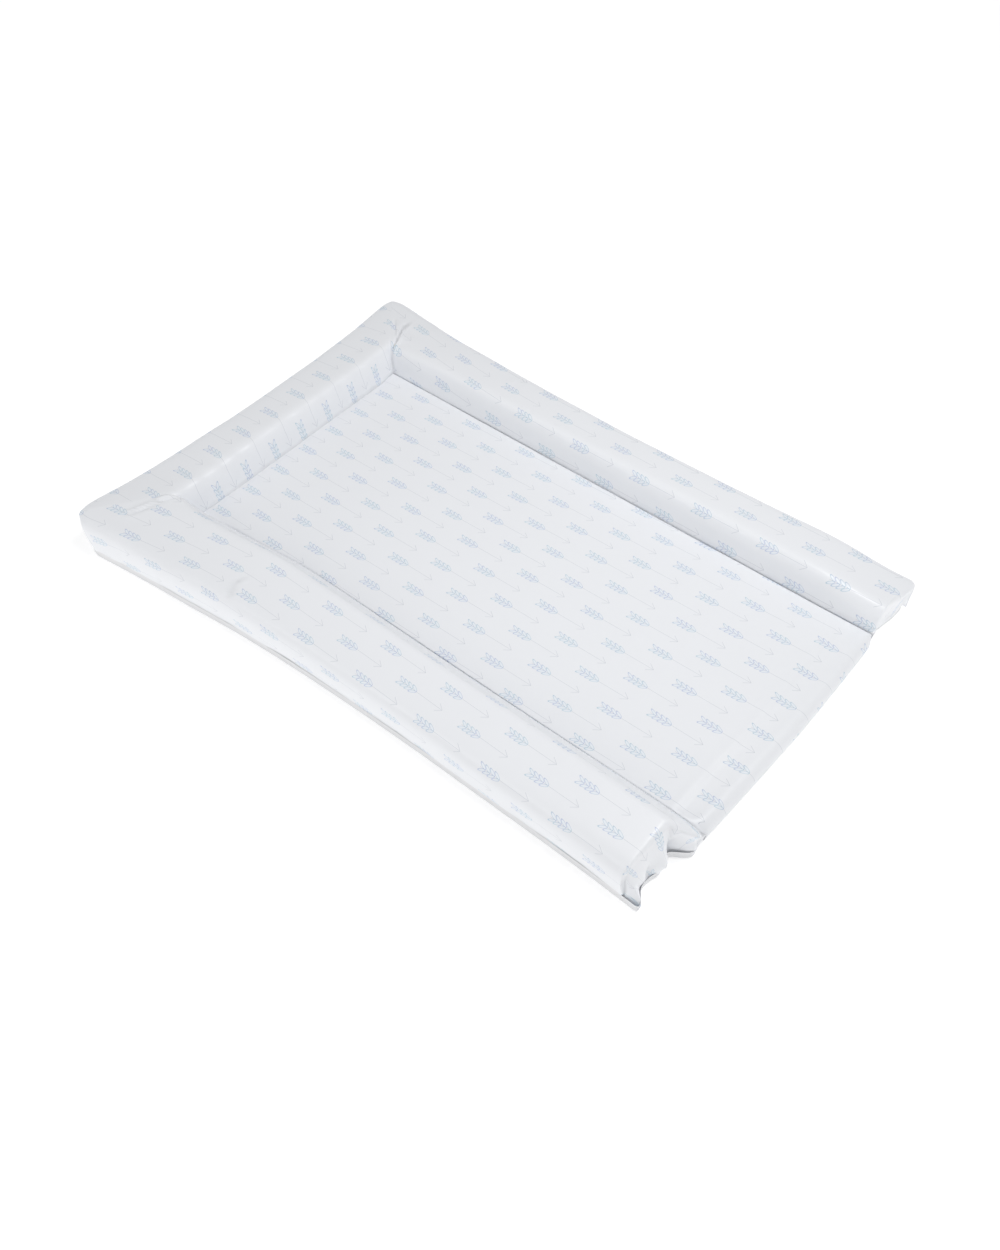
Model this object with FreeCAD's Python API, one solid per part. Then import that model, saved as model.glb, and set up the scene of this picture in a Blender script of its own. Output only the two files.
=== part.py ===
import FreeCAD, Part
import os

os.makedirs("parts", exist_ok=True)

# A contoured changing mat: a flat foam slab with three foam bolsters on it, along both sides and
# the head end, wrapped in a printed top film and a plain base film that are welded together all
# round, low on the side walls. The foot end is open, so the lying space runs out over its edge.
# Millimetres. +X is the baby's right-hand side seen from the foot, +Y the head end, +Z up, and
# the origin lies on the floor under the middle of the mat.

# Plan, with lengths measured from the foot edge
mat_length = 730.0
waist_half_width = 219.0        # the narrowest place, where the film pulls the sides in
waist_from_foot = 205.0
head_flare = 33.0               # each head corner stands this much further out than the waist
head_edge_bow = 12.0            # the head edge curves in by this much between its corners
head_corner_radius = 30.0
foot_corner_radius = 16.0

# Heights above the floor
centre_height = 28.0
bolster_height = 60.0
seam_height = 9.0

# Bolsters, with the lying space between them
side_bolster_width = 69.0       # at the waist
head_bolster_width = 82.0
inner_wall_lean = 8.0           # how far the bolsters' inner walls lean back over their height

# Edges
shoulder_radius = 14.0
crest_radius = 9.0
foot_edge_radius = 12.0

# Films and foam
film_thickness = 0.3
flange_width = 2.5              # the welded lip that stands out of the side walls
foam_clearance = 0.3            # between the foam and the inside of the films

centre_half_width = waist_half_width - side_bolster_width
centre_length = mat_length - head_bolster_width
foam_inset = film_thickness + foam_clearance
past = 40.0                     # how far a cutting tool runs past what it cuts


def point(x, y, z=0.0):
    return FreeCAD.Vector(x, y, z)


def side_x(y):
    """Half width of the plan at a distance y from the foot edge."""
    reach = mat_length - waist_from_foot
    radius = (reach ** 2 + head_flare ** 2) / (2 * head_flare)
    return waist_half_width + radius - (radius ** 2 - (y - waist_from_foot) ** 2) ** 0.5


def plan_prism(inset, bottom, top):
    """The mat's plan drawn in by inset on every side, between two heights."""
    foot_x = side_x(0.0)
    head_x = side_x(mat_length)
    foot_right = point(foot_x, 0.0)
    foot_left = point(-foot_x, 0.0)
    head_right = point(head_x, mat_length)
    head_left = point(-head_x, mat_length)
    right_waist = point(waist_half_width, waist_from_foot)
    left_waist = point(-waist_half_width, waist_from_foot)
    head_middle = point(0.0, mat_length - head_edge_bow)
    outline = Part.Wire([
        Part.LineSegment(foot_left, foot_right).toShape(),
        Part.Arc(foot_right, right_waist, head_right).toShape(),
        Part.Arc(head_right, head_middle, head_left).toShape(),
        Part.Arc(head_left, left_waist, foot_left).toShape(),
    ])
    face = Part.Face(outline)
    if inset:
        face = face.makeOffset2D(-inset, join=2)
    face.translate(point(0.0, 0.0, bottom))
    prism = face.extrude(point(0.0, 0.0, top - bottom))
    upright = [e for e in prism.Edges if abs(e.Vertexes[0].X - e.Vertexes[-1].X) < 1e-6
               and abs(e.Vertexes[0].Y - e.Vertexes[-1].Y) < 1e-6]
    foot = [e for e in upright if e.Vertexes[0].Y < mat_length / 2]
    head = [e for e in upright if e.Vertexes[0].Y > mat_length / 2]
    prism = prism.makeFillet(foot_corner_radius - inset, foot)
    head = [e for e in prism.Edges if any(same_place(e, h) for h in head)]
    return prism.makeFillet(head_corner_radius - inset, head)


def same_place(edge, other):
    return edge.CenterOfMass.distanceToPoint(other.CenterOfMass) < 1e-4


def recess(inset):
    """The lying space, open above and past the foot edge, as a solid to cut away."""
    floor_z = centre_height - inset
    top_z = bolster_height + past
    lean = inner_wall_lean / (bolster_height - centre_height)
    rims = []
    for z in (floor_z, top_z):
        spread = inset + lean * (z - centre_height)
        x = centre_half_width + spread
        head_y = centre_length + spread
        corners = [point(-x, -past, z), point(x, -past, z), point(x, head_y, z), point(-x, head_y, z)]
        rims.append(Part.makePolygon(corners + corners[:1]))
    return Part.makeLoft(rims, True, True)


def foot_edge_waste(inset):
    """What rounding the centre panel's foot edge takes away."""
    radius = foot_edge_radius - inset
    half = centre_half_width + inset
    low = centre_height - foot_edge_radius
    block = Part.makeBox(2 * half, foot_edge_radius + past, radius + 1.0, point(-half, -past, low))
    round_bar = Part.makeCylinder(radius, 2 * half, point(-half, foot_edge_radius, low), point(1, 0, 0))
    behind = Part.makeBox(2 * half, past, radius + 1.0, point(-half, foot_edge_radius, low))
    return block.cut(round_bar).cut(behind)


def envelope(inset):
    """The whole mat's outside, drawn in by inset."""
    body = plan_prism(inset, inset, bolster_height - inset)
    body = body.cut(recess(inset))
    top_z = bolster_height - inset
    rim = [e for e in body.Edges if e.BoundBox.ZMin > top_z - 1e-4]
    crest_limit = centre_half_width + 2 * inner_wall_lean
    head_limit = centre_length + 2 * inner_wall_lean
    crest = [e for e in rim if abs(e.CenterOfMass.x) < crest_limit and e.CenterOfMass.y < head_limit
             and e.CenterOfMass.y > 1.0]
    shoulder = [e for e in rim if not any(same_place(e, c) for c in crest)]
    body = body.makeFillet(shoulder_radius - inset, shoulder)
    crest = [e for e in body.Edges if any(abs(e.CenterOfMass.z - top_z) < 1e-4
             and e.CenterOfMass.distanceToPoint(c.CenterOfMass) < shoulder_radius for c in crest)]
    body = body.makeFillet(crest_radius - inset, crest)
    return body.cut(foot_edge_waste(inset))


def between(shape, bottom, top):
    wide = mat_length + past
    slab = Part.makeBox(2 * wide, 2 * wide, top - bottom, point(-wide, -wide / 2, bottom))
    return shape.common(slab)


# The two films: one thin shell round the foam, parted at the seam
skin = envelope(0.0).cut(envelope(film_thickness))
top_flange = plan_prism(-flange_width, seam_height, seam_height + film_thickness)
base_flange = plan_prism(-flange_width, seam_height - film_thickness, seam_height)
inside = plan_prism(film_thickness, 0.0, bolster_height)
top_film = between(skin, seam_height, bolster_height).fuse(top_flange.cut(inside)).removeSplitter()
base_film = between(skin, 0.0, seam_height).fuse(base_flange.cut(inside)).removeSplitter()

# The foam: one slab under everything, and three bolsters on it that meet in mitres at the head
foam = envelope(foam_inset)
slab_top = centre_height - foam_inset
base_foam = between(foam, 0.0, slab_top)
bolsters = between(foam, slab_top, bolster_height)
mitre_run = (side_x(mat_length) - centre_half_width) / (mat_length - centre_length)
inner_y = centre_length - past
outer_y = mat_length + past
inner_x = centre_half_width - mitre_run * past
outer_x = side_x(mat_length) + mitre_run * past
wedge = Part.Face(Part.makePolygon([
    point(-inner_x, inner_y), point(inner_x, inner_y),
    point(outer_x, outer_y), point(-outer_x, outer_y), point(-inner_x, inner_y),
])).extrude(point(0.0, 0.0, bolster_height))
head_bolster_foam = bolsters.common(wedge)
side_bolsters = bolsters.cut(wedge).Solids
left_bolster_foam = min(side_bolsters, key=lambda s: s.CenterOfMass.x)
right_bolster_foam = max(side_bolsters, key=lambda s: s.CenterOfMass.x)

nodes = {
    "top_film": top_film,
    "base_film": base_film,
    "base_foam": base_foam,
    "left_bolster_foam": left_bolster_foam,
    "right_bolster_foam": right_bolster_foam,
    "head_bolster_foam": head_bolster_foam,
}

# Everything moves together so that the origin lies under the middle of the plan
plan_box = base_flange.optimalBoundingBox(False)
to_middle = point(0.0, -(plan_box.YMin + plan_box.YMax) / 2)
for name, shape in nodes.items():
    solid = shape.Solids[0]
    solid.translate(to_middle)
    solid.exportStep("parts/" + name + ".step")
    box = solid.optimalBoundingBox(False)
    print(name, "solids", len(shape.Solids), "valid", solid.isValid(), "volume", round(solid.Volume),
          "x", round(box.XMin, 1), round(box.XMax, 1), "y", round(box.YMin, 1), round(box.YMax, 1),
          "z", round(box.ZMin, 2), round(box.ZMax, 2))
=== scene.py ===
import bpy
import bmesh
import math
import numpy as np
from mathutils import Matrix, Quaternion, Vector, noise


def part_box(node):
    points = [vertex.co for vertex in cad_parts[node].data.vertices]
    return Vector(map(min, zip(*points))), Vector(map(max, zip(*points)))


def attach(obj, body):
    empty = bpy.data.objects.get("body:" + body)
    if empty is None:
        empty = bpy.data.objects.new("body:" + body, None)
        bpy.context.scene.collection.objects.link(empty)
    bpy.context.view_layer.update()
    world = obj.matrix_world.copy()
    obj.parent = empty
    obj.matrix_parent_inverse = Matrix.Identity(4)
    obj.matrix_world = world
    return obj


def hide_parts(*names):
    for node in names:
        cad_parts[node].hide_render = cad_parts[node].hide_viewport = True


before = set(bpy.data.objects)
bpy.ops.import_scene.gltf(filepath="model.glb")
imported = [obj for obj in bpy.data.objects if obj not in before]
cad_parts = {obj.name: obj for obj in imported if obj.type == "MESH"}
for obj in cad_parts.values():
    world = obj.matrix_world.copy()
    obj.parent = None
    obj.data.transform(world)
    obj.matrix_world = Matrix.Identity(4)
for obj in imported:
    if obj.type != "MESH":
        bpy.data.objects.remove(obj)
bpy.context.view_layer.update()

# ---------------------------------------------------------------------------
# Camera and studio. The mat lies on a plain white sweep under a large soft
# light from its left side and a smaller one over its foot end, with an even
# white surround to fill the shadows.
# ---------------------------------------------------------------------------
camera_place = Vector((-0.5455, -0.4700, 0.7713))
camera_looks = Vector((0.49107, 0.40738, -0.77000))
camera_roll = math.radians(-0.48)
camera_lens = 28.17

camera_data = bpy.data.cameras.new("camera")
camera_data.sensor_width = 36.0
camera_data.lens = camera_lens
camera_data.clip_start = 0.01
camera = bpy.data.objects.new("camera", camera_data)
camera.location = camera_place
camera.rotation_mode = "QUATERNION"
camera_turn = camera_looks.to_track_quat("-Z", "Y")
camera.rotation_quaternion = camera_turn @ Quaternion((0, 0, 1), camera_roll)
bpy.context.collection.objects.link(camera)
bpy.context.scene.camera = camera
bpy.context.scene.view_settings.view_transform = "Standard"

surround_strength = 0.53
world = bpy.data.worlds.new("surround")
world.use_nodes = True
surround = world.node_tree.nodes["Background"]
surround.inputs["Color"].default_value = (1.0, 1.0, 1.0, 1.0)
surround.inputs["Strength"].default_value = surround_strength
bpy.context.scene.world = world


def softbox(name, place, aim, size, power):
    """A square soft light, size metres across and power watts strong, that faces the aim."""
    light = bpy.data.lights.new(name, "AREA")
    light.shape = "SQUARE"
    light.size = size
    light.energy = power
    lamp = bpy.data.objects.new(name, light)
    lamp.location = place
    lamp.rotation_mode = "QUATERNION"
    lamp.rotation_quaternion = (Vector(aim) - Vector(place)).to_track_quat("-Z", "Y")
    bpy.context.collection.objects.link(lamp)


def finished(mesh, name):
    """Turns a bmesh into an object in the scene."""
    data = bpy.data.meshes.new(name)
    mesh.to_mesh(data)
    mesh.free()
    piece = bpy.data.objects.new(name, data)
    bpy.context.collection.objects.link(piece)
    return piece


softbox("key_light", place=(-2.0, 0.6, 1.2), aim=(0.0, 0.0, 0.03), size=1.3, power=7.5)
softbox("top_light", place=(0.1, -0.42, 1.1), aim=(0.1, 0.8, 0.0), size=0.55, power=6.2)

# The sweep glows a little by itself, and more so away from the mat
floor_half = 6.0
glow_starts, glow_ends = 0.3, 1.1     # metres from the middle of the mat
glow_at_mat, glow_far_off = 0.34, 0.48
floor_mesh = bmesh.new()
bmesh.ops.create_grid(floor_mesh, x_segments=1, y_segments=1, size=floor_half)
floor = finished(floor_mesh, "floor")
floor_paint = bpy.data.materials.new("white_sweep")
floor_paint.use_nodes = True
floor_shader = floor_paint.node_tree.nodes["Principled BSDF"]
floor_shader.inputs["Base Color"].default_value = (0.93, 0.93, 0.93, 1.0)
floor_shader.inputs["Roughness"].default_value = 0.9
floor_shader.inputs["Specular IOR Level"].default_value = 0.1
floor_spot = floor_paint.node_tree.nodes.new("ShaderNodeTexCoord")
floor_reach = floor_paint.node_tree.nodes.new("ShaderNodeVectorMath")
floor_reach.operation = "LENGTH"
floor_glow = floor_paint.node_tree.nodes.new("ShaderNodeMapRange")
floor_glow.inputs["From Min"].default_value = glow_starts
floor_glow.inputs["From Max"].default_value = glow_ends
floor_glow.inputs["To Min"].default_value = glow_at_mat
floor_glow.inputs["To Max"].default_value = glow_far_off
floor_links = floor_paint.node_tree.links
floor_links.new(floor_spot.outputs["Object"], floor_reach.inputs[0])
floor_links.new(floor_reach.outputs["Value"], floor_glow.inputs["Value"])
floor_links.new(floor_glow.outputs["Result"], floor_shader.inputs["Emission Color"])
floor_shader.inputs["Emission Strength"].default_value = 1.0
floor.data.materials.append(floor_paint)

# ---------------------------------------------------------------------------
# The printed top film. One sheet of soft vinyl lies over the centre panel, is
# tucked down along its edges, goes over the three bolsters and down the walls,
# and is welded to the base film low on them. There is no bolster at the foot.
# ---------------------------------------------------------------------------
mm = 0.001
film_gap = 0.6 * mm              # from the foam to the film's outer face
slab_low, slab_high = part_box("base_foam")
side_low, side_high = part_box("right_bolster_foam")
head_low, head_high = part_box("head_bolster_foam")
panel_half = side_low[0] - film_gap
head_line = head_low[1] - film_gap
foot_line = slab_low[1] - film_gap
panel_z = slab_high[2] + film_gap
crest_z = side_high[2] + film_gap
seam_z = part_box("top_film")[0][2]

waist_half = 221 * mm            # half the mat's width where it is narrowest
waist_y = foot_line + 205 * mm
head_y = foot_line + 730 * mm
flare = 33 * mm                  # how much further out each side is at the head
head_bow = 13 * mm               # how far the middle of the head edge is drawn in
corner_radius = 30 * mm          # the head corners, in plan
panel_round = 12 * mm            # the panel's edge at the foot end
end_round = 5 * mm               # the bolsters' ends
end_fade = 18 * mm               # how far from the seam their rounding fades out

panel_cols, side_cols = 110, 240   # grid cells across the panel, and along each bolster
ring_steps = 4                     # rings in each span of the bolster's section
round_rows, drop_rows = 8, 14      # rows over the foot end's rounded edge, and down to the seam


def ease(x, low, high):
    """0 below low, 1 above high, and a smooth step between."""
    t = np.clip((np.asarray(x, float) - low) / (high - low), 0.0, 1.0)
    return t * t * (3.0 - 2.0 * t)


def bump(x, middle, reach):
    """1 at the middle, and fading out smoothly on both sides of it."""
    return np.exp(-((np.asarray(x, float) - middle) / reach) ** 2)


def left_line(y):
    """The panel's left edge: straight from the foot end, then splayed out in two steps."""
    straight = -139 * mm
    first_splay = 11 * mm * ease(y, 90 * mm, 240 * mm)
    head_splay = 12 * mm * ease(y, 225 * mm, 283 * mm)
    return straight - first_splay - head_splay


def right_line(y):
    """The panel's right edge: splayed out evenly from near the foot end to the head."""
    straight = panel_half + 0.5 * mm
    splay_slope = 0.0217
    return straight + splay_slope * (np.asarray(y, float) - foot_line - 43 * mm).clip(0)


def head_line_y(x):
    """The panel's head edge, which lies a little askew."""
    askew_slope = 0.031
    return head_line - 0.9 * mm + askew_slope * np.asarray(x, float)


def outline_x(y, side=0):
    """Half the mat's width: waisted, fuller at the head corners and on the right, with a fuller left
    shoulder, and a little narrower at the foot end."""
    on_right, on_left = np.asarray(side) > 0, np.asarray(side) < 0
    waisted = waist_half + flare * ((y - waist_y) / (head_y - waist_y)) ** 2
    corner = 5 * mm * ease(y, 230 * mm, 360 * mm)
    right = 2.5 * mm * on_right * (1 - ease(y, 180 * mm, 340 * mm))
    right = right - 5 * mm * on_right * (1 - ease(y, foot_line, foot_line + 110 * mm))
    left = 3.5 * mm * on_left * bump(y, 230 * mm, 80 * mm)
    left = left - 3 * mm * on_left * (1 - ease(y, foot_line, foot_line + 220 * mm))
    return waisted + corner + right + left


def outline_y(x):
    """The head edge: bowed inwards, and a little askew."""
    askew_slope = 0.034
    half = waist_half + flare
    return head_y + 3.5 * mm + askew_slope * x - head_bow * np.clip(1.0 - (x / half) ** 2, 0.0, 1.0)


def foot_y(x):
    """Where the foot end lies: askew and a little bowed, and drawn in at the left bolster."""
    x = np.asarray(x, float)
    askew_slope, bow = 0.0577, 0.131
    askew = foot_line - 1.6 * mm - askew_slope * x + bow * x ** 2
    drawn_in = 19 * mm * (1.0 - ease(x, -168 * mm, -147 * mm))
    right_corner = 1.0 - 1.8 * ease(x, 165 * mm, 212 * mm)
    right_end = 4 * mm * ease(x, 140 * mm, 155 * mm) * right_corner
    return askew + drawn_in + right_end


def foot_rim(x):
    """Where the seam lies at the foot end: the left bolster's end slopes out to it, with an ear of
    loose film at its outer corner."""
    slope = 7 * mm * (1.0 - ease(x, -190 * mm, -155 * mm))
    ear = 11 * mm * (1.0 - ease(x, -218 * mm, -203 * mm))
    tucked_under = 4 * mm * ease(x, -150 * mm, -135 * mm)
    loose = 3 * mm * bump(x, -155 * mm, 6 * mm) + 4 * mm * bump(x, -180 * mm, 7 * mm)
    return foot_y(x) - slope - ear - loose + tucked_under


def round_corner(x, y):
    """Moves plan points near the two head corners so that the square corner becomes round."""
    r = corner_radius
    p = (np.abs(x) - (outline_x(y) - r)) / r      # 0 to 1 across the corner's square, and q up it
    q = (y - (outline_y(x) - r)) / r
    in_square = (p > 0) & (q > 0)
    round_p = p * np.sqrt(1 - np.clip(q, 0, 1.0) ** 2 / 2)
    round_q = q * np.sqrt(1 - np.clip(p, 0, 1.0) ** 2 / 2)
    shift_x = np.where(in_square, (round_p - p) * r, 0.0) * np.sign(x)
    shift_y = np.where(in_square, (round_q - q) * r, 0.0)
    return x + shift_x, y + shift_y


def section(width, low, top, lean):
    """The bolster's section for arrays of widths, of heights of its foot and its crest and of how far its
    inner wall leans: distances out from the inner line and heights, one row for each ring. The film
    follows a cubic B-spline through these corners."""
    w = np.asarray(width, float)
    rise = top - low
    inner_wall = [
        (0.6 * mm + 0 * w, low - 4.2 * mm),
        (-1.0 * mm + 0 * w, low + 0.4 * mm),
        (0.25 * lean, low + 0.3 * rise),
        (0.55 * lean, low + 0.62 * rise),
        (lean, top - 6 * mm),
    ]
    crest = [
        (lean + 3 * mm, top + 0.3 * mm),
        (lean + 11 * mm, top + 1.2 * mm),
        (0.36 * w, top + 0.4 * mm),
        (0.55 * w, top - 1.0 * mm),
        (0.74 * w, top - 2.4 * mm),
        (w - 9 * mm, top - 3.6 * mm),
    ]
    outer_wall = [
        (w - 0.8 * mm, top - 7.5 * mm),
        (w + 1.6 * mm, top - 18 * mm),
        (w + 1.6 * mm, seam_z + 20 * mm),
        (w + 0.8 * mm, seam_z + 10 * mm),
        (w - 0.4 * mm, seam_z + 3 * mm),
        (w - 0.9 * mm, seam_z - 2 * mm),
    ]
    corners = inner_wall + crest + outer_wall
    d = np.array([c[0] for c in corners])
    z = np.array([c[1] + 0 * w for c in corners])
    d = np.concatenate([2 * d[:1] - d[1:2], d, 2 * d[-1:] - d[-2:-1]])
    z = np.concatenate([2 * z[:1] - z[1:2], z, 2 * z[-1:] - z[-2:-1]])
    rows_d, rows_z = [], []
    spans = len(corners) - 1
    for i in range(spans * ring_steps + 1):
        k = min(i // ring_steps, spans - 1)
        t = i / ring_steps - k
        weights = (
            (1 - t) ** 3 / 6,
            (3 * t ** 3 - 6 * t ** 2 + 4) / 6,
            (-3 * t ** 3 + 3 * t ** 2 + 3 * t + 1) / 6,
            t ** 3 / 6,
        )
        rows_d.append(sum(weights[j] * d[k + j] for j in range(4)))
        rows_z.append(sum(weights[j] * z[k + j] for j in range(4)))
    return np.array(rows_d), np.array(rows_z)


def closer_at_ends(n, low, high, near):
    """n + 1 places from low to high, closer together near both ends: evenly with near at 0, and
    closest with it at 1."""
    t = np.linspace(0.0, 1.0, n + 1)
    t = t - near * np.sin(2 * np.pi * t) / (2 * np.pi)
    return low + (high - low) * t


across = closer_at_ends(panel_cols, -1.0, 1.0, near=0.75)
along = closer_at_ends(side_cols, 0.0, 1.0, near=0.55)
side_lines = {-1: left_line, 1: right_line}
head_corner = {}
for side, line in side_lines.items():
    x = line(head_line)
    head_corner[side] = (float(x), float(head_line_y(x)))


def bolster_path():
    """The inner line's points from the foot, up the left side, across the head and back down the right
    side, each with the point of the outline that it faces."""
    points = []
    for side, line in side_lines.items():
        end = foot_y(side * 0.5 * (panel_half + waist_half)) + end_round
        y_in = end + (head_corner[side][1] - end) * along
        y_out = end + (outline_y(side * outline_x(head_y)) - end) * along
        points.append(np.stack([line(y_in), y_in, side * outline_x(y_out, side), y_out], 1))
    x_in = head_corner[-1][0] + (head_corner[1][0] - head_corner[-1][0]) * (across + 1) / 2
    x_out = outline_x(head_y) * across
    head = np.stack([x_in, head_line_y(x_in), x_out, outline_y(x_out)], 1)
    left, right = points
    left[-1] = head[0]
    right[-1] = head[-1]
    return np.concatenate([left, head[1:-1], right[::-1]])


path = bolster_path()
left_mitre, right_mitre = side_cols, side_cols + panel_cols
column = np.arange(len(path))
on_head = (column > left_mitre) & (column < right_mitre)
path_y = path[:, 1]
path_run = np.abs(path[:, 2:] - path[:, :2])
from_corner = np.minimum(path[:, 0] - head_corner[-1][0], head_corner[1][0] - path[:, 0])

# The panel's head edge lies in a shallow valley, and the crest sinks a little in the middle of the head
# bolster and at the foot ends of the side bolsters
sunk = np.where(on_head, 2.5 * mm * ease(from_corner, 0.0, 30 * mm), 0.0)
lower = np.where(on_head, 2.5 * mm * ease(from_corner, 0.0, 60 * mm), 0.0)
at_foot = 1 - ease(path_y, foot_line, foot_line + 80 * mm)
lower = lower + np.where(column > right_mitre, 6 * mm, 1 * mm) * at_foot
left_lean = 19 * mm - 16 * mm * ease(path_y, 225 * mm, 283 * mm)
right_lean = 3 * mm + 3.5 * mm * (1 - ease(path_y, 200 * mm, 283 * mm))
side_lean = np.where(column < left_mitre, left_lean, right_lean)
head_lean = 7.5 * mm + 0 * sunk
side_d, side_z = section(path_run[:, 0], panel_z - sunk, crest_z - lower, side_lean)
head_d, head_z = section(path_run[:, 1], panel_z - sunk, crest_z - lower, head_lean)
rings = len(side_d)


def ring_place(k):
    """Every column's plan position and height on ring k, before any wrinkle."""
    head_share = head_d[k] / path_run[:, 1].clip(1e-6)
    side_share = side_d[k] / path_run[:, 0].clip(1e-6)
    share = np.where(on_head, head_share, side_share)
    x = path[:, 0] + (path[:, 2] - path[:, 0]) * share
    y = path[:, 1] + (path[:, 3] - path[:, 1]) * share
    mitre = (column == left_mitre) | (column == right_mitre)
    y = np.where(mitre, path[:, 1] + head_d[k] * np.sign(path[:, 3] - path[:, 1]), y)
    z = np.where(on_head, head_z[k], side_z[k])
    x, y = round_corner(x, y)
    return np.stack([x, y, z], 1)


def travel(d, z):
    """How far each ring lies along the film from the inner line."""
    step = np.hypot(np.diff(d, axis=0), np.diff(z, axis=0))
    return np.concatenate([np.zeros((1, d.shape[1])), np.cumsum(step, axis=0)])


side_travel, head_travel = travel(side_d, side_z), travel(head_d, head_z)


def print_on_side(side, out, y):
    """Where a place on a side bolster's film lies on the flat print. The film is pulled over each
    bolster by hand, so the print is shifted and stretched a little there, more at the foot end, and
    its rows bow outwards towards the head."""
    askew_slope = 0.0141
    if side > 0:
        foot_stretch = 0.035 * min(y + 84 * mm, 0.0)
        along_it = 0.9825 * y - 17.7 * mm + foot_stretch
        bow = 0.37 * max(y - 20 * mm, 0.0) ** 2
        askew = askew_slope * (256.1 * mm - along_it)
        across_it = 166.3 * mm + 0.851 * (out - 9.5 * mm - bow) + askew
    else:
        foot_stretch = 0.045 * min(y - 10 * mm, 0.0)
        along_it = 1.02 * y + 15.5 * mm + foot_stretch
        bow = 2.75 * out * max(y - 100 * mm, 0.0) ** 2
        askew = askew_slope * (118 * mm - along_it)
        foot_shift = 3.3 * mm * float(ease(-y, 0.0, 230 * mm))
        across_it = -178.7 * mm + foot_shift - 1.081 * (out - 38.7 * mm - bow) + askew
    return across_it, along_it


def print_on_head(x, out):
    """The same for the head bolster: stretched outwards, and drawn to the right on its inner wall."""
    drawn = 2 * mm + 6 * mm * (1 - float(ease(out, 25 * mm, 60 * mm)))
    stretch = 1.17
    return x + drawn, head_line + 7 * mm + out / stretch


def next_row(mesh, row, closed=False):
    """Extrudes the edges along a row of vertices, and gives the new row in the same order."""
    ahead = row[1:] + row[:1] if closed else row[1:]
    edges = [mesh.edges.get(pair) for pair in zip(row, ahead)]
    made = bmesh.ops.extrude_edge_only(mesh, edges=edges)["geom"]
    twins = {tuple(v.co): v for v in made if isinstance(v, bmesh.types.BMVert)}
    return [twins[tuple(v.co)] for v in row]


# The panel is a grid, and its rim is carried out over the bolsters one ring at a time
film_mesh = bmesh.new()
bmesh.ops.create_grid(film_mesh, x_segments=panel_cols, y_segments=side_cols, size=1.0)
grid = {}
for v in film_mesh.verts:
    i = round((v.co.x + 1) / 2 * panel_cols)
    j = round((v.co.y + 1) / 2 * side_cols)
    grid[i, j] = v
flat_at = {}                     # each vertex's place on the flat print
head_flat_at = {}                # the same for vertices on a mitre, as the head strip has it
vertex_column = {}
end_zone = 20 * mm               # at its sides the panel's end bends out to meet the bolsters' ends
for (i, j), v in grid.items():
    share = (across[i] + 1) / 2
    top_x = head_corner[-1][0] + (head_corner[1][0] - head_corner[-1][0]) * share
    low_x = panel_half * across[i]
    edge_blend = ease(abs(low_x), panel_half - end_zone, panel_half)
    start = foot_y(low_x) + panel_round
    start = start + (path[0 if low_x < 0 else -1, 1] - start) * edge_blend ** 4
    y = start + (head_line_y(top_x) - start) * along[j]
    x = left_line(y) + (right_line(y) - left_line(y)) * share
    v.co = (x, y, panel_z)
    flat_at[v] = (x, y)

ring = [grid[0, j] for j in range(side_cols + 1)]
ring += [grid[i, side_cols] for i in range(1, panel_cols)]
ring += [grid[panel_cols, j] for j in range(side_cols, -1, -1)]
place = ring_place(0)
for c, v in enumerate(ring):
    v.co = place[c]
    vertex_column[v] = c
ring_verts = [ring]
for k in range(1, rings):
    ring = next_row(film_mesh, ring)
    place = ring_place(k)
    for c, v in enumerate(ring):
        v.co = place[c]
        vertex_column[v] = c
        side = -1 if c <= side_cols + panel_cols // 2 else 1
        as_head = print_on_head(place[c][0], head_travel[k, c])
        flat_at[v] = as_head if on_head[c] else print_on_side(side, side_travel[k, c], place[c][1])
        if c in (left_mitre, right_mitre):
            head_flat_at[v] = as_head
    ring_verts.append(ring)

# The foot end: the film rounds over the panel's edge and the bolsters' ends and drops to the seam,
# where one row runs from the left bolster's outer wall to the right one's
seam_back = 0.3 * mm             # how far the seam lies inside the base film's rim
foot_row = [r[0] for r in ring_verts[::-1]] + [grid[i, 0] for i in range(1, panel_cols)]
foot_row += [r[-1] for r in ring_verts]
start = np.array([tuple(v.co) for v in foot_row])
count = len(foot_row)
is_left = np.arange(count) < rings
is_right = np.arange(count) >= count - rings
is_bolster = is_left | is_right
tangent = np.gradient(start[:, [0, 2]], axis=0)
tangent /= np.linalg.norm(tangent, axis=1)[:, None].clip(1e-9)
inward = np.stack([tangent[:, 1], -tangent[:, 0]], 1)
inward[~is_bolster] = (0.0, -1.0)
step = np.hypot(*np.diff(start[:, [0, 2]], axis=0).T)
reach_along = np.concatenate([[0], np.cumsum(step)])
from_seam = np.minimum(reach_along, reach_along[-1] - reach_along)
radius = np.where(is_bolster, end_round * ease(from_seam, 0.0, end_fade), panel_round)
left_share = 1 - (reach_along / reach_along[rings - 1]).clip(0, 1)
right_share = (reach_along - reach_along[count - rings]) / (reach_along[-1] - reach_along[count - rings])
target_x = start[:, 0].copy()
target_x[is_left] = -panel_half + (start[0, 0] + panel_half) * left_share[is_left]
target_x[is_right] = panel_half + (start[-1, 0] - panel_half) * right_share[is_right].clip(0, 1)
end_y = foot_y(start[:, 0])
start_flat = np.array([flat_at[v] for v in foot_row])
rounded = start[:, [0, 2]] + inward * radius[:, None]
row = foot_row
seam_row_z = start[0, 2]
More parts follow.
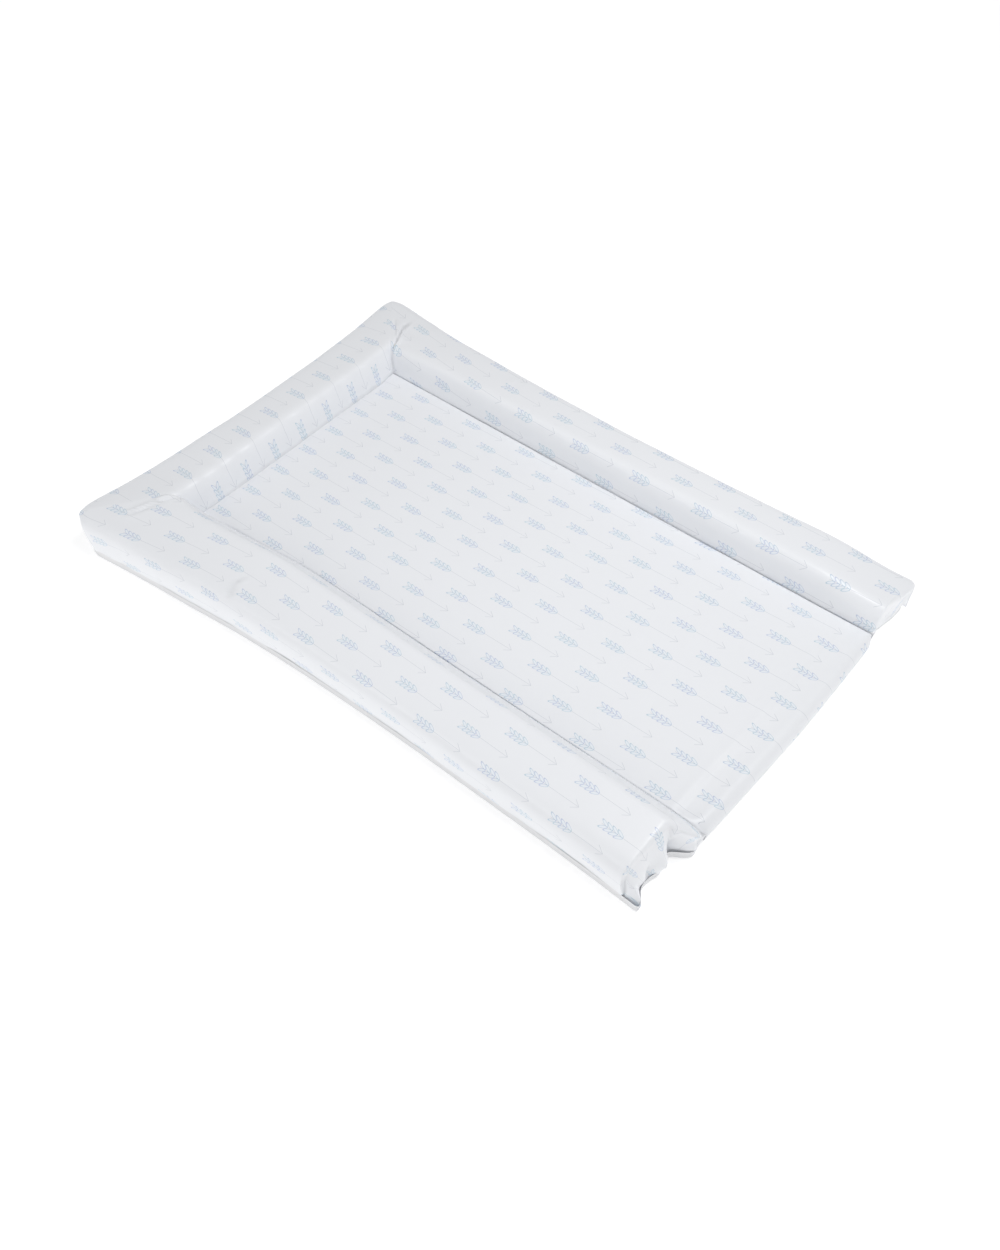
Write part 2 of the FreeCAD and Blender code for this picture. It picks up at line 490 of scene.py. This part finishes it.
for m in range(1, round_rows + drop_rows + 1):
    row = next_row(film_mesh, row)
    if m <= round_rows:
        turn = m / round_rows * math.pi / 2
        xz = start[:, [0, 2]] + inward * (radius * (1 - math.cos(turn)))[:, None]
        y = start[:, 1] + (end_y - start[:, 1]) * math.sin(turn)
        down = radius * turn
    else:
        share = (m - round_rows) / drop_rows
        bottom = np.stack([target_x, np.full(count, seam_row_z)], 1)
        xz = rounded + (bottom - rounded) * share
        y = end_y + (foot_rim(target_x) + seam_back - end_y) * (1.0 - (1.0 - share) ** 2)
        down = radius * math.pi / 2 + share * (rounded[:, 1] - seam_row_z)
    for c, v in enumerate(row):
        v.co = (xz[c, 0], y[c], xz[c, 1])
        flat_at[v] = (start_flat[c, 0], start_flat[c, 1] - down[c])
        vertex_column[v] = 0 if c < count / 2 else len(path) - 1

# The flat print's layer. A mitre's vertices have one place on the side strip and another on the head
# strip, so the print breaks off there as it does at a fold
film_mesh.verts.index_update()
flat_place = np.zeros((len(film_mesh.verts), 2))
head_place = np.full((len(film_mesh.verts), 2), np.nan)
columns = np.full(len(film_mesh.verts), -1)
for v, flat in flat_at.items():
    flat_place[v.index] = flat
for v, flat in head_flat_at.items():
    head_place[v.index] = flat
for v, c in vertex_column.items():
    columns[v.index] = c
uv_layer = film_mesh.loops.layers.uv.new("flat_film")
for face in film_mesh.faces:
    face.smooth = True
    cols = [columns[v.index] for v in face.verts]
    in_head = min(cols) >= left_mitre and max(cols) <= right_mitre
    for loop in face.loops:
        i = loop.vert.index
        if in_head and not np.isnan(head_place[i, 0]):
            loop[uv_layer].uv = head_place[i]
        else:
            loop[uv_layer].uv = flat_place[i]

# The mitres are soft: the film spans the two inner corners in a rounded valley
mitre_rings, mitre_reach, mitre_passes = 34, 6, 8
soft_zone = []
for ring_row in ring_verts[:mitre_rings]:
    for mitre in (left_mitre, right_mitre):
        soft_zone += ring_row[mitre - mitre_reach:mitre + mitre_reach + 1]
for _ in range(mitre_passes):
    bmesh.ops.smooth_vert(
        film_mesh, verts=soft_zone, factor=0.5, use_axis_x=True, use_axis_y=True, use_axis_z=True)
bmesh.ops.recalc_face_normals(film_mesh, faces=film_mesh.faces)
top_film = finished(film_mesh, "top_film_printed")
film_data = top_film.data
panel_face = film_data.polygons[len(film_data.polygons) // 100]
if panel_face.normal.z < 0:
    film_data.flip_normals()

# Creases and swells of the film, pressed into the smooth sheet along its own normals
place = np.zeros(len(film_data.vertices) * 3)
film_data.vertices.foreach_get("co", place)
place = place.reshape(-1, 3)
normal = np.zeros(len(film_data.vertices) * 3)
film_data.vertices.foreach_get("normal", normal)
normal = normal.reshape(-1, 3)


def swell(size, seed):
    """A smooth random field over the film, about -1 to 1, with patches of the given size."""
    return np.array([noise.noise(Vector(p) / size + Vector((seed, 0.0, 0.0))) for p in place.tolist()])


def stroke(points):
    """For a line drawn in plan: each vertex's signed distance from it, left positive, and how far along
    it lies, as a share of its length."""
    p = place[:, :2]
    best, side, along_it = np.full(len(p), np.inf), np.zeros(len(p)), np.zeros(len(p))
    points = np.array(points)
    legs = np.diff(points, axis=0)
    lengths = np.linalg.norm(legs, axis=1)
    before = 0.0
    for start_point, leg, length in zip(points, legs, lengths):
        t = ((p - start_point) @ leg / length ** 2).clip(0, 1)
        away = p - start_point - t[:, None] * leg
        distance = np.hypot(away[:, 0], away[:, 1])
        nearer = distance < best
        best = np.where(nearer, distance, best)
        turn = leg[0] * away[:, 1] - leg[1] * away[:, 0]
        side = np.where(nearer, np.sign(turn), side)
        along_it = np.where(nearer, (before + t * length) / lengths.sum(), along_it)
        before += length
    return best * side, along_it


x, y, z = place.T
height = np.zeros(len(place))
hair = 0.001 * mm                # so that the edge's own vertices count as inside
inside_panel = (x >= left_line(y) - hair) & (x <= right_line(y) + hair) & (y <= head_line_y(x) + hair)
side_edge = np.minimum(x - left_line(y), right_line(y) - x)
head_edge = head_line_y(x) - y
panel_edge = np.minimum(side_edge, head_edge).clip(0)
facing_up = normal[:, 2].clip(0)
flat_part = ease(panel_edge, 0.0, 9 * mm) * inside_panel * facing_up

# The panel is tucked down along its sides, deeper on the left towards the head, and along its head edge
tuck = 2.6 * mm * np.exp(-(side_edge.clip(0) / (1.5 * mm)) ** 2)
left_deeper = (x < 0) * ease(y, 90 * mm, 140 * mm)
tuck += 4.5 * mm * left_deeper * np.exp(-(side_edge.clip(0) / (3 * mm)) ** 2)
valley = 2.5 * mm * np.exp(-head_edge.clip(0) / (9 * mm)) * ease(side_edge, 0.0, 25 * mm)
height -= np.where(inside_panel, (tuck + valley) * facing_up, 0.0)

# Slack film everywhere
slack = 0.8 * mm * swell(0.11, 3.0) + 0.3 * mm * swell(0.035, 9.0)
height += slack * ease(z, seam_z, seam_z + 6 * mm)

# The head bolster's inner wall is gathered in soft upright ripples
ripple = np.sin(2 * np.pi * (x / (31 * mm) + 0.5 * swell(0.09, 21.0)))
height += 0.6 * mm * ripple * bump(y, head_line + 7 * mm, 10 * mm) * ~inside_panel

# A line across the panel short of the foot end, past which the film lies a little lower
drop_line = foot_y(x) + 34 * mm + 3 * mm * swell(0.08, 5.0)
drop = 1 - ease(y, drop_line - 7 * mm, drop_line + 2 * mm)
back_up = ease(y, foot_y(x) + 8 * mm, foot_y(x) + 22 * mm)
ridge = 0.35 * mm * bump(y, drop_line + 3 * mm, 4 * mm)
height += (-1.3 * mm * drop * back_up + ridge) * flat_part

# Folds where the film is drawn round the head corners, and a pinch across each side bolster: a
# rounded fold with a narrow crease beside it
folds = [                        # points in plan, how high it rises, and on which side it lies
    ([(-224, 307), (-204, 299), (-191, 295), (-183, 294), (-171, 284)], 2.2, 1),
    ([(160, 284), (168, 290), (184, 297), (207, 309), (230, 312)], 2.4, -1),
    ([(190, 303), (203, 318), (215, 331)], 1.6, -1),
    ([(-200, 142), (-210, 144), (-221, 140), (-231, 135)], 1.7, 1),
    ([(196, 135), (210, 131), (226, 124)], 1.6, 1),
]
for line, rise, fold_side in folds:
    away, part = stroke([(px * mm, py * mm) for px, py in line])
    faded = ease(part, 0.0, 0.2) * (1 - ease(part, 0.75, 1.0)) * (1 - ease(np.abs(away), 6 * mm, 9 * mm))
    away = away * fold_side
    rounded_fold = bump(away, 2.2 * mm, 1.9 * mm)
    crease = 1.1 * bump(away, -1.4 * mm, 1.5 * mm)
    height += rise * mm * (rounded_fold - crease) * faded * ~inside_panel

# The film gathered between the panel's corner and the left bolster's end: lobes with deep pockets
at_left_end = (1 - ease(y, foot_y(x) - 1 * mm, foot_y(x) + 4 * mm)) * (1 - ease(x, -146 * mm, -138 * mm))
lobes = 3 * mm * bump(x, -154 * mm, 5 * mm) + 4 * mm * bump(x, -179 * mm, 6 * mm)
pockets = 6 * mm * bump(x, -165.5 * mm, 3.2 * mm) + 4 * mm * bump(x, -194 * mm, 3.5 * mm)
pockets += 3 * mm * bump(x, -145 * mm, 2.5 * mm)
gather = (lobes - pockets) * at_left_end * bump(z, 20 * mm, 13 * mm) * ease(z, seam_z, seam_z + 9 * mm)

# The ear stands out below the left bolster's outer corner
ear = 9 * mm * bump(x, -226 * mm, 11 * mm)
ear = ear * (1 - ease(z, 9 * mm, 34 * mm)) * (1 - ease(y, -338 * mm, -318 * mm))
above_seam = ease(z, seam_z - 2 * mm, seam_z + 8 * mm)
place = place + normal * height[:, None]
place[:, 1] -= gather + ear * above_seam
film_data.vertices.foreach_set("co", place.ravel())
film_data.update()


class Value:
    """A shader value: arithmetic on it adds the Math nodes that work it out."""

    def __init__(self, tree, socket):
        self.tree, self.socket = tree, socket

    def math(self, operation, *others):
        node = self.tree.nodes.new("ShaderNodeMath")
        node.operation = operation
        for slot, value in zip(node.inputs, (self,) + others):
            if isinstance(value, Value):
                self.tree.links.new(value.socket, slot)
            else:
                slot.default_value = value
        return Value(self.tree, node.outputs[0])

    def constant(self, number):
        node = self.tree.nodes.new("ShaderNodeValue")
        node.outputs[0].default_value = number
        return Value(self.tree, node.outputs[0])

    def __add__(self, other):
        return self.math("ADD", other)

    def __sub__(self, other):
        return self.math("SUBTRACT", other)

    def __rsub__(self, other):
        return self.constant(other).math("SUBTRACT", self)

    def __mul__(self, other):
        return self.math("MULTIPLY", other)

    def __truediv__(self, other):
        return self.math("DIVIDE", other)

    def __rtruediv__(self, other):
        return self.constant(other).math("DIVIDE", self)

    __radd__ = __add__
    __rmul__ = __mul__

    def __abs__(self):
        return self.math("ABSOLUTE")

    def floor(self):
        return self.math("FLOOR")

    def wrap(self, length):
        return self.math("FLOORED_MODULO", length)

    def below(self, other):
        return self.math("LESS_THAN", other)

    def above(self, other):
        return self.math("GREATER_THAN", other)

    def most(self, other):
        return self.math("MAXIMUM", other)

    def root(self):
        return self.math("SQRT")

    def soft_below(self, edge, blur):
        """1 well below the edge, 0 well above it."""
        node = self.tree.nodes.new("ShaderNodeMapRange")
        node.interpolation_type = "SMOOTHSTEP"
        self.tree.links.new(self.socket, node.inputs["Value"])
        node.inputs["From Min"].default_value = edge - blur
        node.inputs["From Max"].default_value = edge + blur
        node.inputs["To Min"].default_value = 1.0
        node.inputs["To Max"].default_value = 0.0
        return Value(self.tree, node.outputs["Result"])


class Paint:
    """A material's nodes, made one at a time."""

    def __init__(self, name):
        self.material = bpy.data.materials.new(name)
        self.material.use_nodes = True
        self.tree = self.material.node_tree
        self.shader = self.tree.nodes["Principled BSDF"]

    def node(self, kind, settings=None, **inputs):
        node = self.tree.nodes.new(kind)
        for name, value in (settings or {}).items():
            setattr(node, name, value)
        for name, value in inputs.items():
            self.feed(node.inputs[name], value)
        return node

    def feed(self, slot, value):
        if isinstance(value, Value):
            self.tree.links.new(value.socket, slot)
        elif isinstance(value, bpy.types.NodeSocket):
            self.tree.links.new(value, slot)
        else:
            slot.default_value = value

    def value(self, socket):
        return Value(self.tree, socket)

    def mix(self, share, first, second):
        node = self.tree.nodes.new("ShaderNodeMix")
        node.data_type = "RGBA"
        self.feed(node.inputs["Factor"], share)
        self.feed(node.inputs[6], first)
        self.feed(node.inputs[7], second)
        return node.outputs[2]


vinyl = Paint("printed_vinyl")
flat = vinyl.node("ShaderNodeUVMap", {"uv_map": "flat_film"})
apart = vinyl.node("ShaderNodeSeparateXYZ", Vector=flat.outputs["UV"])
sheet_x = vinyl.value(apart.outputs["X"]) * 1000.0
sheet_y = vinyl.value(apart.outputs["Y"]) * 1000.0

# The repeat, in millimetres on the flat film: rows of arrows that all point to the foot end, every
# other row half a step on, printed a little askew
row_pitch, arrow_pitch = 21.7, 80.4
print_turn = math.radians(0.81)
first_x, first_y = -115.8, 256.1      # one arrow's tip, from which the repeat is measured
from_x, from_y = sheet_x - first_x, sheet_y - first_y
toward_foot = from_x * math.sin(print_turn) - from_y * math.cos(print_turn)
across_rows = from_x * math.cos(print_turn) + from_y * math.sin(print_turn)
row_number = (across_rows / row_pitch + 0.5).floor()
off_row = abs(across_rows - row_number * row_pitch)
behind_tip = (row_number * (arrow_pitch / 2) - toward_foot).wrap(arrow_pitch)

# One arrow: a thin shaft with an open head, and pairs of leaves in outline for its feathers
line_half, line_blur = 0.16, 0.17
shaft_half, head_half = line_half * 0.8, line_half * 0.9
shaft_length, head_length, head_angle = 56.0, 8.0, math.radians(36)
feather_start, feather_step, feathers = 33.5, 5.4, 4
leaf_angle, leaf_long, leaf_wide = math.radians(28), 4.2, 1.22
leaf_off_shaft = 0.1

shaft = off_row.soft_below(shaft_half, line_blur) * behind_tip.below(shaft_length)
head_along = behind_tip * math.cos(head_angle) + off_row * math.sin(head_angle)
head_off = abs(off_row * math.cos(head_angle) - behind_tip * math.sin(head_angle))
arrow_head = head_off.soft_below(head_half, line_blur) * head_along.below(head_length)
cell = (behind_tip - feather_start) / feather_step
cell_number = cell.floor()
in_cell = (cell - cell_number) * feather_step
outlines, insides = None, None
for leaf in (0, 1):
    lx = in_cell + leaf * feather_step - leaf_long * math.cos(leaf_angle)
    ly = off_row - leaf_long * math.sin(leaf_angle) - leaf_off_shaft
    long_way = (lx * math.cos(leaf_angle) + ly * math.sin(leaf_angle)) / leaf_long
    wide_way = (ly * math.cos(leaf_angle) - lx * math.sin(leaf_angle)) / leaf_wide
    from_edge = ((long_way * long_way + wide_way * wide_way).root() - 1.0) * leaf_wide
    real = (cell_number - leaf).above(-0.5) * (cell_number - leaf).below(feathers - 0.5)
    outline = abs(from_edge).soft_below(line_half, line_blur) * real
    inside = from_edge.soft_below(0.0, line_blur) * real
    outlines = outline if outlines is None else outlines.most(outline)
    insides = inside if insides is None else insides.most(inside)

# The inks: leaves outlined in blue that turns to aqua in patches, over a pale tint, and grey shafts
blue, aqua = (0.20, 0.29, 0.58, 1.0), (0.18, 0.40, 0.54, 1.0)
film_white, leaf_tint = (0.855, 0.87, 0.90, 1.0), (0.79, 0.86, 0.93, 1.0)
shaft_grey = (0.38, 0.41, 0.48, 1.0)
tint_strength, shaft_strength, outline_strength = 0.5, 0.66, 0.54
flat_noise = {"noise_dimensions": "2D"}
patch = vinyl.node("ShaderNodeTexNoise", flat_noise, Vector=flat.outputs["UV"], Scale=55.0)
tone = vinyl.value(patch.outputs["Fac"])
ink = vinyl.mix(tone.soft_below(0.5, 0.12), blue, aqua)
colour = vinyl.mix(insides * tint_strength, film_white, leaf_tint)
colour = vinyl.mix(shaft.most(arrow_head) * shaft_strength, colour, shaft_grey)
colour = vinyl.mix(outlines * outline_strength, colour, ink)
vinyl.feed(vinyl.shader.inputs["Base Color"], colour)
vinyl.shader.inputs["Specular IOR Level"].default_value = 0.5

# The film's faint grain, in its gloss and in its surface
least_rough, rough_range = 0.27, 0.16
grain = vinyl.node("ShaderNodeTexNoise", flat_noise, Vector=flat.outputs["UV"], Scale=70.0, Detail=3.0)
gloss = vinyl.value(grain.outputs["Fac"]) * rough_range + least_rough
vinyl.feed(vinyl.shader.inputs["Roughness"], gloss)
press = vinyl.node("ShaderNodeBump", Height=grain.outputs["Fac"], Strength=0.25, Distance=0.6 * mm)
vinyl.feed(vinyl.shader.inputs["Normal"], press.outputs["Normal"])

film_data.materials.append(vinyl.material)
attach(top_film, "root")
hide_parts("top_film")

# ---------------------------------------------------------------------------
# The plain base film. It covers the underside, turns up the walls and is
# welded to the top film, with its cut lip left standing loosely round them.
# ---------------------------------------------------------------------------
base_cols, base_rows = 90, 120
floor_inset = 5 * mm             # the underside's edge, where the film turns up


def plan(across_share, along_share, inset, foot):
    """A place in the mat's plan, from shares across and along it, drawn in by inset."""
    low = foot(across_share * waist_half) + inset
    high = outline_y(across_share * outline_x(head_y)) - inset
    y = low + (high - low) * along_share
    x = across_share * (outline_x(y, np.sign(across_share)) - inset)
    return round_corner(x, y)


base_mesh = bmesh.new()
bmesh.ops.create_grid(base_mesh, x_segments=base_cols, y_segments=base_rows, size=1.0)
floor_face = {}
for v in base_mesh.verts:
    i = round((v.co.x + 1) / 2 * base_cols)
    j = round((v.co.y + 1) / 2 * base_rows)
    floor_face[i, j] = v
rim_keys = [(i, 0) for i in range(base_cols)] + [(base_cols, j) for j in range(base_rows)]
rim_keys += [(i, base_rows) for i in range(base_cols, 0, -1)] + [(0, j) for j in range(base_rows, 0, -1)]
shares = {key: (key[0] / base_cols * 2 - 1, key[1] / base_rows) for key in floor_face}
for key, v in floor_face.items():
    px, py = plan(np.float64(shares[key][0]), np.float64(shares[key][1]), floor_inset, foot_rim)
    v.co = (px, py, 0.0)
rim = np.array([plan(np.float64(shares[k][0]), np.float64(shares[k][1]), 0.0, foot_rim) for k in rim_keys])
ahead = np.roll(rim, -1, axis=0) - np.roll(rim, 1, axis=0)
outward = np.stack([ahead[:, 1], -ahead[:, 0]], 1)
outward /= np.linalg.norm(outward, axis=1)[:, None]
seam_wave = np.array([noise.noise(Vector((px, py, 0)) / 0.014) for px, py in rim])
seam_wave += 0.7 * np.array([noise.noise(Vector((px, py, 4)) / 0.05) for px, py in rim])
wave_out, wave_up = 0.3, 1.1
turned_up = [                    # out from the wall, height, and how much of the wave each ring takes
    (-2.2, 0.3, 0.0),
    (-0.7, 1.6, 0.0),
    (0.2, 4.0, 0.0),
    (0.0, 6.0, 0.1),
    (-0.3, 7.4, 0.2),
    (-0.4, 8.8, 0.4),
]
lip = [                          # the cut edge, and the lip's inner face behind it
    (-0.2, 11.0, 0.7),
    (0.1, 13.2, 1.0),
    (0.0, 13.5, 1.0),
    (-0.1, 13.2, 1.0),
    (-1.1, 9.0, 0.3),
]
loop = [floor_face[k] for k in rim_keys]
for out, up, share in turned_up + lip:
    loop = next_row(base_mesh, loop, closed=True)
    for c, v in enumerate(loop):
        spot = rim[c] + outward[c] * (out + wave_out * share * seam_wave[c]) * mm
        v.co = (spot[0], spot[1], (up + wave_up * share * seam_wave[c]) * mm)
bmesh.ops.recalc_face_normals(base_mesh, faces=base_mesh.faces)
for face in base_mesh.faces:
    face.smooth = True
base_film = finished(base_mesh, "base_film_plain")
smoother = base_film.modifiers.new("smooth", "SUBSURF")
smoother.levels = smoother.render_levels = 1

plain = Paint("plain_vinyl")
dull_white, clean_white = (0.73, 0.74, 0.755, 1.0), (0.80, 0.80, 0.81, 1.0)
spot = plain.node("ShaderNodeTexCoord")
cloud = plain.node("ShaderNodeTexNoise", Vector=spot.outputs["Object"], Scale=60.0, Detail=3.0)
cloudy = plain.value(cloud.outputs["Fac"])
plain.feed(plain.shader.inputs["Base Color"], plain.mix(cloudy, dull_white, clean_white))
plain.feed(plain.shader.inputs["Roughness"], cloudy * 0.2 + 0.3)
dimple = plain.node("ShaderNodeBump", Height=cloud.outputs["Fac"], Strength=0.25, Distance=0.8 * mm)
plain.feed(plain.shader.inputs["Normal"], dimple.outputs["Normal"])
base_film.data.materials.append(plain.material)
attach(base_film, "root")
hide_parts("base_film")

# ---------------------------------------------------------------------------
# The foam slab: one flat sheet of open-cell foam that fills the mat's plan. It
# lies loose in the base film, and holds up the panel and the bolsters.
# ---------------------------------------------------------------------------
foam = Paint("open_cell_foam")
# The foam is cream, darkened towards the middle of each cell: painted shade in its open pores, with the
# pores' bump on top
painted_pore_shade, foam_cream = (0.72, 0.69, 0.58, 1.0), (0.87, 0.85, 0.76, 1.0)
spot = foam.node("ShaderNodeTexCoord")
cells = foam.node("ShaderNodeTexVoronoi", Vector=spot.outputs["Object"], Scale=900.0)
depth = foam.value(cells.outputs["Distance"])
foam.feed(foam.shader.inputs["Base Color"], foam.mix(depth, painted_pore_shade, foam_cream))
foam.shader.inputs["Roughness"].default_value = 0.95
pores = foam.node("ShaderNodeBump", Height=cells.outputs["Distance"], Strength=0.6, Distance=0.5 * mm)
foam.feed(foam.shader.inputs["Normal"], pores.outputs["Normal"])

slab_inset = 8 * mm              # from the mat's outline to the slab's edge
slab_floor = 1.0 * mm
foam_top = panel_z - 8.0 * mm    # below the deepest tuck of the film
slab_mesh = bmesh.new()
bmesh.ops.create_grid(slab_mesh, x_segments=40, y_segments=60, size=1.0)
for v in slab_mesh.verts:
    px, py = plan(np.float64(v.co.x), np.float64((v.co.y + 1) / 2), slab_inset, foot_y)
    v.co = (px, py, slab_floor)
top = bmesh.ops.extrude_face_region(slab_mesh, geom=slab_mesh.faces[:])["geom"]
raised = [v for v in top if isinstance(v, bmesh.types.BMVert)]
bmesh.ops.translate(slab_mesh, verts=raised, vec=(0, 0, foam_top - slab_floor))
bmesh.ops.recalc_face_normals(slab_mesh, faces=slab_mesh.faces)
foam_slab = finished(slab_mesh, "foam_slab")
foam_slab.data.materials.append(foam.material)
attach(foam_slab, "root")
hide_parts("base_foam")

# ---------------------------------------------------------------------------
# The three foam bolsters: bars of the same foam that lie on the slab along the
# left side, the head and the right side, mitred where they meet at the head.
# ---------------------------------------------------------------------------
bolster_floor = foam_top + 0.3 * mm
lowest_wall = bolster_floor + 2 * mm
foam_back = 2.6 * mm             # how far the foam lies inside the film
column_skip = 6                  # the foam takes every sixth column of the film's grid
foot_skip = 8                    # and starts this many columns in from the foot end


def foam_section(c):
    """The film's section at column c, drawn in on all sides and closed along the slab."""
    spots = np.array([ring_place(k)[c] for k in range(2, rings, 2)])
    spots = spots[spots[:, 2] > lowest_wall]
    outwards = spots[:, :2] - spots[:, :2].mean(axis=0)
    outwards /= np.linalg.norm(outwards, axis=1)[:, None]
    spots[:, :2] -= outwards * foam_back
    spots[:, 2] -= foam_back
    first, last = spots[0].copy(), spots[-1].copy()
    first[2] = last[2] = bolster_floor
    return np.array([first] + list(spots) + [last])


def bolster(name, node, columns_of_it):
    """A bolster's foam: its section carried along the columns given, and closed at both ends."""
    mesh = bmesh.new()
    outline = foam_section(columns_of_it[0])
    size = len(outline)
    loop = bmesh.ops.create_circle(mesh, cap_ends=True, segments=size, radius=1.0)["verts"]
    for v, spot in zip(loop, outline):
        v.co = spot
    for c in columns_of_it[1:]:
        loop = next_row(mesh, loop, closed=True)
        outline = foam_section(c)
        pick = np.linspace(0, len(outline) - 1, size)
        for i, v in enumerate(loop):
            low = int(pick[i])
            high = min(low + 1, len(outline) - 1)
            v.co = outline[low] + (outline[high] - outline[low]) * (pick[i] - low)
    end_edges = [mesh.edges.get(pair) for pair in zip(loop, loop[1:] + loop[:1])]
    bmesh.ops.edgeloop_fill(mesh, edges=end_edges)
    bmesh.ops.recalc_face_normals(mesh, faces=mesh.faces)
    piece = finished(mesh, name)
    piece.data.materials.append(foam.material)
    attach(piece, "root")
    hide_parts(node)


left_columns = list(range(foot_skip, left_mitre, column_skip)) + [left_mitre]
head_columns = list(range(left_mitre, right_mitre, column_skip)) + [right_mitre]
right_columns = list(range(right_mitre, len(path) - foot_skip, column_skip))
bolster("foam_left_bolster", "left_bolster_foam", left_columns)
bolster("foam_head_bolster", "head_bolster_foam", head_columns)
bolster("foam_right_bolster", "right_bolster_foam", right_columns)
